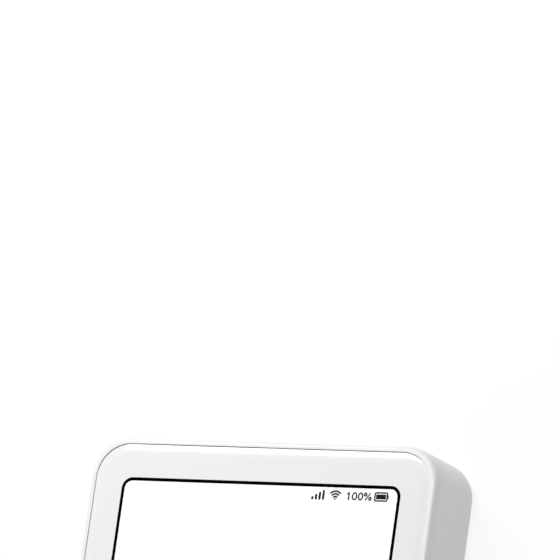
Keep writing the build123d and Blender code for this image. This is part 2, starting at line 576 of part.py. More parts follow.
with BuildPart() as speaker_mesh:
    disc(8.0, FLOOR + CLEAR, SPEAKER_LOW - 0.15, [SPEAKER_AT])
finish(speaker_mesh.part, "speaker_mesh")

with BuildPart() as cell_antenna:
    plate((50.0, ANTENNA_THICK), 0, ANTENNA_LOW, 13.2, (0, ANTENNA_FROM_MIDDLE))
finish(cell_antenna.part, "cell_antenna")

with BuildPart() as wifi_antenna:
    plate((ANTENNA_THICK, 22.0), 0, ANTENNA_LOW, 12.8, (-ANTENNA_FROM_MIDDLE, -14))
finish(wifi_antenna.part, "wifi_antenna")

print(len(FINISHED), "pieces:", ", ".join(FINISHED))
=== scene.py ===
"""Looks of a pocket card payment terminal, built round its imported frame.

Everything is in metres and in the terminal's own frame: +Z comes out of the display, +Y points to
the top edge, +X to the right side, and the table is at Z = 0.
"""

import logging
import math
from dataclasses import dataclass, field
from enum import Enum

import bmesh
import bpy
from mathutils import Matrix, Vector


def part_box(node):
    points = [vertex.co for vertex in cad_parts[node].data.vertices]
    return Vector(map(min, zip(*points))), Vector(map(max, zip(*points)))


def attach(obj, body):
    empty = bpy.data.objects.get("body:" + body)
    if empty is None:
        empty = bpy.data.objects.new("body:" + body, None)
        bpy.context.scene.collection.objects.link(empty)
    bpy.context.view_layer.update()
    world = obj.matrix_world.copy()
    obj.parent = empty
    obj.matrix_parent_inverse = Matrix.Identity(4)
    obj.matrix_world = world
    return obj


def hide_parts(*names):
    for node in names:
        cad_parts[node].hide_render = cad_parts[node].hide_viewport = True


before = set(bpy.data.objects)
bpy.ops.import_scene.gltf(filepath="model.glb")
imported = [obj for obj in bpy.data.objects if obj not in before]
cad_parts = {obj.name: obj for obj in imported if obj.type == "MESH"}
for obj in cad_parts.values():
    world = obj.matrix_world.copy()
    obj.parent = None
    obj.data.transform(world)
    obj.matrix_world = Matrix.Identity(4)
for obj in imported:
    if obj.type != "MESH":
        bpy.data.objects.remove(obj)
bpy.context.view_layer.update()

MM = 0.001
LOG = logging.getLogger("terminal")

Colour = tuple[float, float, float]
Place = tuple[float, float, float]
Point = tuple[float, float]
Outline = list[Point]


# ---------------------------------------------------------------- flat outlines
def arc_points(centre: Point, radius: Point, start: float, end: float, steps: int) -> Outline:
    """Follows an arc of a circle or an ellipse.

    Args:
        centre: Middle of the arc.
        radius: Half width and half height of the ellipse.
        start: First angle, in degrees.
        end: Last angle, in degrees.
        steps: Number of spans along the arc.

    Returns:
        The points from start to end, both included.
    """
    angles = [math.radians(start + (end - start) * i / steps) for i in range(steps + 1)]
    return [
        (centre[0] + radius[0] * math.cos(angle), centre[1] + radius[1] * math.sin(angle))
        for angle in angles
    ]


def rounded_rectangle(
    size: Point, radius: float, centre: Point = (0.0, 0.0), steps: int = 10
) -> Outline:
    """Outlines a rectangle with round corners, anticlockwise.

    Args:
        size: Width and height.
        radius: Corner radius.
        centre: Middle of the rectangle.
        steps: Spans in each corner.

    Returns:
        The outline's points.
    """
    outline: Outline = []
    for quarter, (side_x, side_y) in enumerate(((1, 1), (-1, 1), (-1, -1), (1, -1))):
        middle = (
            centre[0] + side_x * (size[0] / 2 - radius),
            centre[1] + side_y * (size[1] / 2 - radius),
        )
        start, end = 90.0 * quarter, 90.0 * (quarter + 1)
        outline += arc_points(middle, (radius, radius), start, end, steps)
    return outline


def round_bar(start: Point, end: Point, width: float, steps: int = 8) -> Outline:
    """Outlines a straight stroke with round ends.

    Args:
        start: Middle of one end's arc.
        end: Middle of the other end's arc.
        width: Width of the stroke.
        steps: Spans in each round end.

    Returns:
        The outline's points, anticlockwise.
    """
    heading = math.degrees(math.atan2(end[1] - start[1], end[0] - start[0]))
    half = (width / 2, width / 2)
    return arc_points(end, half, heading - 90, heading + 90, steps) + arc_points(
        start, half, heading + 90, heading + 270, steps
    )


def arc_band(
    centre: Point, radius: float, width: float, start: float, end: float, steps: int = 24
) -> Outline:
    """Outlines a curved stroke with round ends.

    Args:
        centre: Middle of the arc.
        radius: Radius of the stroke's middle line.
        width: Width of the stroke.
        start: First angle, in degrees.
        end: Last angle, in degrees.
        steps: Spans along the arc.

    Returns:
        The outline's points, anticlockwise.
    """
    outer, inner, half = radius + width / 2, radius - width / 2, (width / 2, width / 2)
    last = arc_points(centre, (radius, radius), end, end, 1)[0]
    first = arc_points(centre, (radius, radius), start, start, 1)[0]
    return (
        arc_points(centre, (outer, outer), start, end, steps)
        + arc_points(last, half, end, end + 180, 6)[1:-1]
        + arc_points(centre, (inner, inner), end, start, steps)
        + arc_points(first, half, start + 180, start + 360, 6)[1:-1]
    )


# ---------------------------------------------------------------- meshes
class MeshMaker:
    """Collects closed solids in one mesh and turns them into a piece."""

    def __init__(self, name: str) -> None:
        """Starts an empty mesh for the piece called name."""
        self.name = name
        self.mesh = bmesh.new()

    def prism(self, outline: Outline, low: float, high: float, hole: Outline | None = None) -> None:
        """Adds a flat solid between two heights.

        Args:
            outline: Outer edge, anticlockwise.
            low: Height of the underside.
            high: Height of the top.
            hole: Inner edge with as many points as the outline, or None for a full solid.
        """
        rings = [outline] + ([hole] if hole else [])
        lower = [[self.mesh.verts.new((x, y, low)) for x, y in ring] for ring in rings]
        upper = [[self.mesh.verts.new((x, y, high)) for x, y in ring] for ring in rings]
        count = len(outline)
        for i in range(count):
            j = (i + 1) % count
            self.mesh.faces.new((lower[0][i], lower[0][j], upper[0][j], upper[0][i]))
            if hole:
                self.mesh.faces.new((lower[1][j], lower[1][i], upper[1][i], upper[1][j]))
                self.mesh.faces.new((upper[0][i], upper[0][j], upper[1][j], upper[1][i]))
                self.mesh.faces.new((lower[0][j], lower[0][i], lower[1][i], lower[1][j]))
        if not hole:
            self.mesh.faces.new(upper[0])
            self.mesh.faces.new(list(reversed(lower[0])))

    def turned(self, profile: Outline, centre: Point, steps: int = 72) -> None:
        """Adds a round solid, turned about an upright axis.

        Args:
            profile: Radius and height of each point, from the axis at the bottom to the axis
                at the top.
            centre: Where the axis stands.
            steps: Spans round the axis.
        """
        first = self.mesh.verts.new((*centre, profile[0][1]))
        last = self.mesh.verts.new((*centre, profile[-1][1]))
        turns = [2 * math.pi * i / steps for i in range(steps)]
        rings = []
        for r, z in profile[1:-1]:
            ring = [(centre[0] + r * math.cos(t), centre[1] + r * math.sin(t), z) for t in turns]
            rings.append([self.mesh.verts.new(point) for point in ring])
        for i in range(steps):
            j = (i + 1) % steps
            self.mesh.faces.new((first, rings[0][j], rings[0][i]))
            for below, above in zip(rings, rings[1:]):
                self.mesh.faces.new((below[i], below[j], above[j], above[i]))
            self.mesh.faces.new((rings[-1][i], rings[-1][j], last))

    def piece(self, place: Matrix | None = None, smooth_below: float = 35.0) -> bpy.types.Object:
        """Makes the Blender object.

        Args:
            place: Moves the mesh from its drawing plane to its place on the terminal.
            smooth_below: Edges turning by less than this many degrees are shaded smooth.

        Returns:
            The new object, linked to the scene.
        """
        bmesh.ops.remove_doubles(self.mesh, verts=self.mesh.verts, dist=1e-9)
        many_sided = [face for face in self.mesh.faces if len(face.verts) > 4]
        bmesh.ops.triangulate(self.mesh, faces=many_sided)
        if place:
            self.mesh.transform(place)
        bmesh.ops.recalc_face_normals(self.mesh, faces=self.mesh.faces)
        data = bpy.data.meshes.new(self.name)
        self.mesh.to_mesh(data)
        self.mesh.free()
        data.polygons.foreach_set("use_smooth", [True] * len(data.polygons))
        data.set_sharp_from_angle(angle=math.radians(smooth_below))
        made = bpy.data.objects.new(self.name, data)
        bpy.context.scene.collection.objects.link(made)
        return made


def settle(
    piece: bpy.types.Object, body: str, material: bpy.types.Material
) -> bpy.types.Object:
    """Dresses a new piece and fastens it to the body that carries it.

    Args:
        piece: The new object.
        body: Name of the rigid body that it moves with.
        material: What it is made of.

    Returns:
        The same object.
    """
    piece.data.materials.append(material)
    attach(piece, body)
    LOG.info("made %s on %s", piece.name, body)
    return piece


def dress(material: bpy.types.Material, *nodes: str) -> None:
    """Gives CAD nodes their finish.

    Args:
        material: The finish.
        *nodes: Names of the nodes.
    """
    for node in nodes:
        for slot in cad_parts[node].material_slots:
            slot.material = material
        LOG.info("dressed %s in %s", node, material.name)


# ---------------------------------------------------------------- shared shader groups
class Texture(Enum):
    """The relief that a finish has under the fingers."""

    GRAIN = "moulded grain"
    BRUSHED = "brushed lines"
    WEAVE = "woven threads"
    TRACES = "board traces"


class NodeDrawing:
    """A node tree being drawn."""

    def __init__(self, tree: bpy.types.NodeTree) -> None:
        """Draws in that tree."""
        self.tree = tree

    def node(self, kind: str, **settings: object) -> bpy.types.Node:
        """Adds a node.

        Args:
            kind: Name of the node's type.
            **settings: Properties to set on it.

        Returns:
            The new node.
        """
        made = self.tree.nodes.new(kind)
        for key, value in settings.items():
            setattr(made, key, value)
        return made

    def link(self, start: bpy.types.NodeSocket, end: bpy.types.NodeSocket) -> None:
        """Joins an output to an input."""
        self.tree.links.new(start, end)


class GroupDrawing(NodeDrawing):
    """A shader node group being drawn, with named inputs and outputs."""

    def __init__(self, name: str, inputs: dict[str, float], outputs: tuple[str, ...]) -> None:
        """Starts a group.

        Args:
            name: Name of the group.
            inputs: Each number that a material sets, with its default.
            outputs: Names of the values that it gives.
        """
        super().__init__(bpy.data.node_groups.new(name, "ShaderNodeTree"))
        face = self.tree.interface
        face.new_socket("Place", in_out="INPUT", socket_type="NodeSocketVector")
        for key, default in inputs.items():
            socket = face.new_socket(key, in_out="INPUT", socket_type="NodeSocketFloat")
            socket.default_value = default
        for key in outputs:
            face.new_socket(key, in_out="OUTPUT", socket_type="NodeSocketFloat")
        self.source = self.node("NodeGroupInput")
        self.result = self.node("NodeGroupOutput")

    def math(
        self, operation: str, *values: bpy.types.NodeSocket | float, clamp: bool = False
    ) -> bpy.types.NodeSocket:
        """Adds a sum of one to three values, each a socket or a number.

        Args:
            operation: Name of the operation.
            *values: What it works on.
            clamp: Keeps the result between nought and one.

        Returns:
            The socket with the result.
        """
        made = self.node("ShaderNodeMath", operation=operation, use_clamp=clamp)
        for socket, value in zip(made.inputs, values):
            if isinstance(value, bpy.types.NodeSocket):
                self.link(value, socket)
            else:
                socket.default_value = value
        return made.outputs[0]

    def over_size(self) -> bpy.types.NodeSocket:
        """Divides the place by the group's Size input, so that one unit is one grain.

        Returns:
            The socket with the scaled place.
        """
        scaled = self.node("ShaderNodeVectorMath", operation="SCALE")
        self.link(self.source.outputs["Place"], scaled.inputs[0])
        self.link(self.math("DIVIDE", 1.0, self.source.outputs["Size"]), scaled.inputs["Scale"])
        return scaled.outputs[0]


def moulded_grain_group() -> bpy.types.NodeTree:
    """Draws the fine pebble of a moulding tool.

    Returns:
        A group that gives Height and Tone from nought to one.
    """
    draw = GroupDrawing(Texture.GRAIN.value, {"Size": 0.2 * MM}, ("Height", "Tone"))
    pebble = draw.node("ShaderNodeTexNoise")
    pebble.inputs["Scale"].default_value = 1.0
    pebble.inputs["Detail"].default_value = 2.0
    cloud = draw.node("ShaderNodeTexNoise")
    cloud.inputs["Scale"].default_value = 0.03
    cloud.inputs["Detail"].default_value = 3.0
    for noise in (pebble, cloud):
        draw.link(draw.over_size(), noise.inputs["Vector"])
    draw.link(pebble.outputs["Fac"], draw.result.inputs["Height"])
    draw.link(cloud.outputs["Fac"], draw.result.inputs["Tone"])
    return draw.tree


def brushed_lines_group() -> bpy.types.NodeTree:
    """Draws the long fine scratches of rolled and brushed metal, along X.

    Returns:
        A group that gives Height and Tone from nought to one.
    """
    draw = GroupDrawing(Texture.BRUSHED.value, {"Size": 0.1 * MM}, ("Height", "Tone"))
    stretch = draw.node("ShaderNodeVectorMath", operation="MULTIPLY")
    stretch.inputs[1].default_value = (0.03, 1.0, 1.0)
    draw.link(draw.over_size(), stretch.inputs[0])
    lines = draw.node("ShaderNodeTexNoise")
    lines.inputs["Scale"].default_value = 1.0
    lines.inputs["Detail"].default_value = 3.0
    draw.link(stretch.outputs[0], lines.inputs["Vector"])
    draw.link(lines.outputs["Fac"], draw.result.inputs["Height"])
    draw.link(lines.outputs["Fac"], draw.result.inputs["Tone"])
    return draw.tree


def woven_threads_group() -> bpy.types.NodeTree:
    """Draws a plain weave of round threads in the XY plane.

    Returns:
        A group that gives Height and Tone from nought to one.
    """
    draw = GroupDrawing(Texture.WEAVE.value, {"Size": 0.2 * MM}, ("Height", "Tone"))
    split = draw.node("ShaderNodeSeparateXYZ")
    draw.link(draw.over_size(), split.inputs[0])
    across = draw.math("SINE", draw.math("MULTIPLY", split.outputs["X"], 2 * math.pi))
    along = draw.math("SINE", draw.math("MULTIPLY", split.outputs["Y"], 2 * math.pi))
    crossing = draw.math("MULTIPLY", across, along)
    height = draw.math("MULTIPLY_ADD", crossing, 0.5, 0.5)
    draw.link(height, draw.result.inputs["Height"])
    draw.link(height, draw.result.inputs["Tone"])
    return draw.tree


def board_traces_group() -> bpy.types.NodeTree:
    """Draws copper traces that show through the solder mask of a circuit board.

    Returns:
        A group that gives Height and Tone from nought to one.
    """
    draw = GroupDrawing(Texture.TRACES.value, {"Size": 1.0 * MM}, ("Height", "Tone"))
    cells = draw.node(
        "ShaderNodeTexBrick", offset=0.35, offset_frequency=3, squash=0.6, squash_frequency=4
    )
    draw.link(draw.over_size(), cells.inputs["Vector"])
    cells.inputs["Scale"].default_value = 1.0
    cells.inputs["Mortar Size"].default_value = 0.12
    cells.inputs["Brick Width"].default_value = 3.0
    cells.inputs["Row Height"].default_value = 0.5
    draw.link(cells.outputs["Fac"], draw.result.inputs["Height"])
    draw.link(cells.outputs["Fac"], draw.result.inputs["Tone"])
    return draw.tree


def hand_marks_group() -> bpy.types.NodeTree:
    """Draws the faint smears that hands leave on a smooth surface.

    Returns:
        A group that gives Smear, from nought where clean to one.
    """
    draw = GroupDrawing("hand marks", {"Size": 12 * MM}, ("Smear",))
    noise = draw.node("ShaderNodeTexNoise")
    noise.inputs["Scale"].default_value = 1.0
    noise.inputs["Detail"].default_value = 4.0
    noise.inputs["Distortion"].default_value = 0.6
    draw.link(draw.over_size(), noise.inputs["Vector"])
    spread = draw.node("ShaderNodeMapRange", interpolation_type="SMOOTHSTEP")
    spread.inputs["From Min"].default_value = 0.45
    spread.inputs["From Max"].default_value = 0.75
    draw.link(noise.outputs["Fac"], spread.inputs["Value"])
    draw.link(spread.outputs["Result"], draw.result.inputs["Smear"])
    return draw.tree


def edge_rub_group() -> bpy.types.NodeTree:
    """Finds outer edges, where handling polishes plastic and wears plating bright.

    Returns:
        A group that gives Edge, from nought on flat faces to one on an edge.
    """
    draw = GroupDrawing("edge rub", {"Reach": 0.3 * MM, "Gain": 3.0}, ("Edge",))
    rounded = draw.node("ShaderNodeBevel", samples=4)
    draw.link(draw.source.outputs["Reach"], rounded.inputs["Radius"])
    surface = draw.node("ShaderNodeNewGeometry")
    alike = draw.node("ShaderNodeVectorMath", operation="DOT_PRODUCT")
    draw.link(rounded.outputs["Normal"], alike.inputs[0])
    draw.link(surface.outputs["Normal"], alike.inputs[1])
    turned = draw.math("SUBTRACT", 1.0, alike.outputs["Value"])
    edge = draw.math("MULTIPLY", turned, draw.source.outputs["Gain"], clamp=True)
    draw.link(edge, draw.result.inputs["Edge"])
    return draw.tree


class ShaderGroups:
    """Builds each shared group once and hands it out."""

    def __init__(self) -> None:
        """Builds every group."""
        self.relief: dict[Texture, bpy.types.NodeTree] = {
            Texture.GRAIN: moulded_grain_group(),
            Texture.BRUSHED: brushed_lines_group(),
            Texture.WEAVE: woven_threads_group(),
            Texture.TRACES: board_traces_group(),
        }
        self.hand_marks = hand_marks_group()
        self.edge_rub = edge_rub_group()


# ---------------------------------------------------------------- finishes
class MaterialDrawing(NodeDrawing):
    """A material being drawn round its Principled shader."""

    # A Mix node has a socket for each kind of value. These are the share, the colours and the sum.
    MIX_SHARE = 0
    MIX_COLOURS = (6, 7)
    MIX_RESULT = 2

    def __init__(self, name: str) -> None:
        """Starts a material that has only its shader.

        Args:
            name: Name of the material.
        """
        self.material = bpy.data.materials.new(name)
        self.material.use_nodes = True
        super().__init__(self.material.node_tree)
        self.tree.nodes.clear()
        self.output = self.node("ShaderNodeOutputMaterial")
        self.shader = self.node("ShaderNodeBsdfPrincipled")
        self.link(self.shader.outputs[0], self.output.inputs["Surface"])
        self.place = self.node("ShaderNodeTexCoord").outputs["Object"]

    def group(self, tree: bpy.types.NodeTree, **values: float) -> bpy.types.Node:
        """Places a shared group.

        Args:
            tree: The group.
            **values: A value for each of its inputs, with the first letter in lower case.

        Returns:
            The group's node, already given the place on the surface.
        """
        made = self.node("ShaderNodeGroup", node_tree=tree)
        self.link(self.place, made.inputs["Place"])
        for key, value in values.items():
            made.inputs[key.capitalize()].default_value = value
        return made

    def plain(self, **values: float | Colour) -> None:
        """Sets inputs of the shader that are the same all over the surface.

        Args:
            **values: A value for each input, its name in lower case with _ for each space.
        """
        sockets = {socket.name.lower().replace(" ", "_"): socket for socket in self.shader.inputs}
        for key, value in values.items():
            sockets[key].default_value = (*value, 1.0) if isinstance(value, tuple) else value

    def mix(
        self, share: bpy.types.NodeSocket, first: Colour | bpy.types.NodeSocket, second: Colour
    ) -> bpy.types.NodeSocket:
        """Mixes two colours.

        Args:
            share: How much of the second shows, from nought to one.
            first: Colour where share is nought, or a socket that gives it.
            second: Colour where share is one.

        Returns:
            The socket with the mixed colour.
        """
        made = self.node("ShaderNodeMix", data_type="RGBA")
        self.link(share, made.inputs[self.MIX_SHARE])
        for index, value in zip(self.MIX_COLOURS, (first, second)):
            if isinstance(value, bpy.types.NodeSocket):
                self.link(value, made.inputs[index])
            else:
                made.inputs[index].default_value = (*value, 1.0)
        return made.outputs[self.MIX_RESULT]

    def add(
        self, value: bpy.types.NodeSocket | float, share: bpy.types.NodeSocket, gain: float
    ) -> bpy.types.NodeSocket:
        """Adds gain times share to a value, and keeps the sum between nought and one.

        Args:
            value: What is added to, a socket or a number.
            share: What is added, before the gain.
            gain: How strongly it is added.

        Returns:
            The socket with the sum.
        """
        made = self.node("ShaderNodeMath", operation="MULTIPLY_ADD", use_clamp=True)
        self.link(share, made.inputs[0])
        made.inputs[1].default_value = gain
        if isinstance(value, bpy.types.NodeSocket):
            self.link(value, made.inputs[2])
        else:
            made.inputs[2].default_value = value
        return made.outputs[0]


@dataclass(frozen=True)
class SolidFinish:
    """An opaque finish: moulded plastic, rubber, film, foil or metal."""

    name: str
    colour: Colour
    roughness: float
    texture: Texture = Texture.GRAIN
    grain: float = 0.12 * MM
    depth: float = 0.0006 * MM
    metallic: float = 0.0
    mottle: float = 0.02
    smear: float = 0.05
    smear_size: float = 11 * MM
    rub: float = 0.05
    rub_reach: float = 0.25 * MM
    rub_gain: float = 4.0
    rub_paleness: float = 0.6
    coat: float = 0.0
    coat_roughness: float = 0.08
    specular: float = 0.5
    shade: Colour | None = None

    def build(self, groups: ShaderGroups) -> bpy.types.Material:
        """Draws the material.

        Args:
            groups: The shared shader groups.

        Returns:
            The finished material.
        """
        draw = MaterialDrawing(self.name)
        relief = draw.group(groups.relief[self.texture], size=self.grain)
        marks = draw.group(groups.hand_marks, size=self.smear_size)
        edge = draw.group(groups.edge_rub, reach=self.rub_reach, gain=self.rub_gain)
        dark = self.shade or tuple(c * (1 - self.mottle) for c in self.colour)
        worn = tuple(
            min(1.0, c + (1 - c) * self.rub * self.rub_paleness) for c in self.colour
        )
        body = draw.mix(relief.outputs["Tone"], self.colour, dark)
        share = draw.add(0.0, edge.outputs["Edge"], min(1.0, self.rub_gain * self.rub))
        draw.link(draw.mix(share, body, worn), draw.shader.inputs["Base Color"])
        rough = draw.add(self.roughness, marks.outputs["Smear"], self.smear)
        rough = draw.add(rough, edge.outputs["Edge"], -self.rub)
        draw.link(rough, draw.shader.inputs["Roughness"])
        bump = draw.node("ShaderNodeBump")
        bump.inputs["Strength"].default_value = 1.0
        bump.inputs["Distance"].default_value = self.depth
        draw.link(relief.outputs["Height"], bump.inputs["Height"])
        draw.link(bump.outputs["Normal"], draw.shader.inputs["Normal"])
        draw.plain(metallic=self.metallic, specular_ior_level=self.specular,
                   coat_weight=self.coat, coat_roughness=self.coat_roughness)
        return draw.material


@dataclass(frozen=True)
class ClearGlass:
    """Clear glass with the faintest of finger marks."""

    name: str
    tint: Colour = (0.985, 0.992, 0.99)
    roughness: float = 0.015
    smear: float = 0.05
    smear_size: float = 9 * MM
    index: float = 1.5

    def build(self, groups: ShaderGroups) -> bpy.types.Material:
        """Draws the material.

        Args:
            groups: The shared shader groups.

        Returns:
            The finished material.
        """
        draw = MaterialDrawing(self.name)
        marks = draw.group(groups.hand_marks, size=self.smear_size)
        rough = draw.add(self.roughness, marks.outputs["Smear"], self.smear)
        draw.link(rough, draw.shader.inputs["Roughness"])
        draw.plain(base_color=self.tint, transmission_weight=1.0, ior=self.index)
        return draw.material


@dataclass(frozen=True)
class LitPicture:
    """The glowing picture of the display, on its grid of cells."""

    name: str
    colour: Colour = (1.0, 1.0, 1.0)
    glow: float = 1.0
    unlit: float = 0.04
    roughness: float = 0.6
    cell: float = 0.08 * MM
    cell_shade: float = 0.97

    def build(self, groups: ShaderGroups) -> bpy.types.Material:
        """Draws the material.

        Args:
            groups: The shared shader groups.

        Returns:
            The finished material.
        """
        draw = MaterialDrawing(self.name)
        grid = draw.group(groups.relief[Texture.WEAVE], size=self.cell)
        shaded = tuple(c * self.cell_shade for c in self.colour)
        light = draw.mix(grid.outputs["Tone"], self.colour, shaded)
        draw.link(light, draw.shader.inputs["Emission Color"])
        draw.plain(base_color=tuple(c * self.unlit for c in self.colour),
                   emission_strength=self.glow, roughness=self.roughness)
        return draw.material


Finish = SolidFinish | ClearGlass | LitPicture

CASE_WHITE = SolidFinish("case_white", (0.80, 0.80, 0.80), 0.34, grain=0.10 * MM, depth=0.0004 * MM,
                         mottle=0.012, smear=0.04, rub=0.03, coat=0.06, coat_roughness=0.12,
                         specular=0.28)
PANEL_WHITE = SolidFinish("panel_white", (0.82, 0.82, 0.82), 0.10, grain=0.35 * MM,
                          depth=0.0003 * MM, mottle=0.01, smear=0.04, rub=0.02, coat=0.5,
                          coat_roughness=0.03)
DISPLAY_BORDER = SolidFinish("display_border", (0.001, 0.001, 0.001), 0.8, mottle=0.1, smear=0.02,
                             rub=0.0, specular=0.0)
FOOT_RUBBER = SolidFinish("foot_rubber", (0.20, 0.205, 0.21), 0.72, grain=0.16 * MM,
                          depth=0.008 * MM, mottle=0.2, rub=0.05, specular=0.35)
GOLD_CONTACT = SolidFinish("gold_contact", (0.90, 0.66, 0.26), 0.20, Texture.BRUSHED,
                           grain=0.04 * MM, depth=0.0003 * MM, metallic=1.0, mottle=0.1, rub=0.08)
SIGN_INK = SolidFinish("sign_ink", (0.010, 0.010, 0.010), 0.6, mottle=0.05, rub=0.0, specular=0.0)
SIGN_GREY = SolidFinish("sign_grey", (0.03, 0.03, 0.03), 0.6, mottle=0.05, rub=0.0, specular=0.0)
PRINT_GREY = SolidFinish("print_grey", (0.22, 0.22, 0.23), 0.5, mottle=0.05, rub=0.0)
PICTURE = LitPicture("picture_white", glow=1.12)

FINISHES: dict[Finish, tuple[str, ...]] = {
    CASE_WHITE: ("rear_case",),
    PANEL_WHITE: ("front_panel",),
    DISPLAY_BORDER: ("screen_gasket",),
    ClearGlass("lens_glass"): ("cover_lens",),
    ClearGlass("sensor_glass", tint=(0.97, 0.98, 0.98)): ("touch_sensor",),
    SolidFinish("display_glass", (0.62, 0.65, 0.66), 0.12, grain=0.08 * MM, texture=Texture.WEAVE,
                depth=0.0002 * MM, mottle=0.12, coat=0.6): ("lcd_glass",),
    SolidFinish("diffuser", (0.92, 0.93, 0.94), 0.55, grain=0.05 * MM): ("backlight",),
    SolidFinish("pressed_steel", (0.60, 0.60, 0.61), 0.34, Texture.BRUSHED, grain=0.05 * MM,
                depth=0.0004 * MM, metallic=1.0, mottle=0.12, rub=0.12):
        ("lcd_frame", "shield_cans"),
    SolidFinish("black_foam", (0.02, 0.02, 0.02), 0.95, grain=0.22 * MM, depth=0.03 * MM,
                mottle=0.4, specular=0.2): ("lcd_foam",),
    SolidFinish("flex_amber", (0.50, 0.22, 0.04), 0.32, Texture.BRUSHED, grain=0.25 * MM,
                depth=0.001 * MM, mottle=0.35, coat=0.3):
        ("lcd_flex", "charge_ribbon", "nfc_antenna"),
    SolidFinish("copper", (0.80, 0.42, 0.24), 0.30, Texture.BRUSHED, grain=0.08 * MM, metallic=1.0,
                mottle=0.15, rub=0.1): ("nfc_coil", "cell_antenna", "wifi_antenna"),
    SolidFinish("ferrite", (0.045, 0.045, 0.05), 0.5, grain=0.3 * MM, depth=0.004 * MM, mottle=0.3):
        ("ferrite_sheet",),
    SolidFinish("chassis_plastic", (0.10, 0.10, 0.11), 0.55, grain=0.3 * MM, depth=0.008 * MM,
                mottle=0.2, rub=0.08): ("mid_frame", "pad_holder", "speaker"),
    SolidFinish("board_green", (0.010, 0.10, 0.045), 0.30, Texture.TRACES, grain=0.9 * MM,
                depth=0.012 * MM, mottle=0.3, coat=0.4, shade=(0.03, 0.20, 0.09)): ("main_board",),
    SolidFinish("chip_black", (0.020, 0.020, 0.021), 0.5, grain=0.14 * MM, depth=0.006 * MM,
                mottle=0.25, rub=0.06):
        ("board_chips", "sim_socket", "cell_holder", "smartcard_block", "card_switch",
         "side_switch", "usb_tongue"),
    SolidFinish("module_lid", (0.70, 0.70, 0.71), 0.32, Texture.BRUSHED, grain=0.06 * MM,
                depth=0.0005 * MM, metallic=1.0, mottle=0.1, rub=0.1): ("cellular_module",),
    SolidFinish("plain_white", (0.78, 0.78, 0.77), 0.45, grain=0.15 * MM, depth=0.002 * MM):
        ("sim_card", "card_plunger", "switch_plunger"),
    SolidFinish("connector_cream", (0.62, 0.56, 0.44), 0.45, grain=0.15 * MM, depth=0.003 * MM,
                mottle=0.1): ("board_connectors",),
    SolidFinish("carbon_rubber", (0.03, 0.03, 0.03), 0.8, grain=0.12 * MM, depth=0.01 * MM,
                mottle=0.3): ("tamper_pucks",),
    SolidFinish("cell_steel", (0.74, 0.74, 0.75), 0.25, Texture.BRUSHED, grain=0.05 * MM,
                depth=0.0004 * MM, metallic=1.0, mottle=0.08, rub=0.1): ("backup_cell",),
    SolidFinish("battery_wrap", (0.42, 0.44, 0.47), 0.38, grain=1.2 * MM, depth=0.02 * MM,
                metallic=0.8, mottle=0.12, rub=0.1): ("battery_pack",),
    SolidFinish("adhesive", (0.70, 0.70, 0.66), 0.7, grain=0.2 * MM, depth=0.004 * MM):
        ("battery_tape",),
    SolidFinish("lead_red", (0.42, 0.02, 0.015), 0.42, grain=0.2 * MM, depth=0.002 * MM):
        ("battery_leads",),
    GOLD_CONTACT: ("charge_pads", "card_contacts"),
    SolidFinish("bright_steel", (0.76, 0.76, 0.77), 0.2, Texture.BRUSHED, grain=0.05 * MM,
                depth=0.0004 * MM, metallic=1.0, mottle=0.08, rub=0.1): ("usb_shell",),
    SolidFinish("screw_steel", (0.25, 0.25, 0.26), 0.32, Texture.BRUSHED, grain=0.05 * MM,
                depth=0.0006 * MM, metallic=1.0, mottle=0.15, rub=0.3):
        ("case_screws", "board_screws"),
    SolidFinish("slot_grey", (0.085, 0.088, 0.092), 0.42, grain=0.14 * MM, depth=0.004 * MM,
                mottle=0.15, rub=0.08): ("slot_trim", "card_guide"),
    SolidFinish("button_grey", (0.55, 0.56, 0.57), 0.32, grain=0.10 * MM, depth=0.001 * MM,
                mottle=0.03, rub=0.05, coat=0.2): ("power_button",),
    SolidFinish("seal_rubber", (0.06, 0.06, 0.06), 0.75, grain=0.1 * MM, depth=0.004 * MM,
                mottle=0.2): ("button_gasket",),
    FOOT_RUBBER: ("rubber_feet",),
    SolidFinish("label_film", (0.72, 0.72, 0.72), 0.38, grain=0.08 * MM, depth=0.001 * MM,
                mottle=0.03): ("rating_label",),
    SolidFinish("mesh_fabric", (0.03, 0.03, 0.03), 0.85, Texture.WEAVE, grain=0.16 * MM,
                depth=0.05 * MM, mottle=0.6, specular=0.25): ("speaker_mesh",),
}

Materials = dict[Finish, bpy.types.Material]


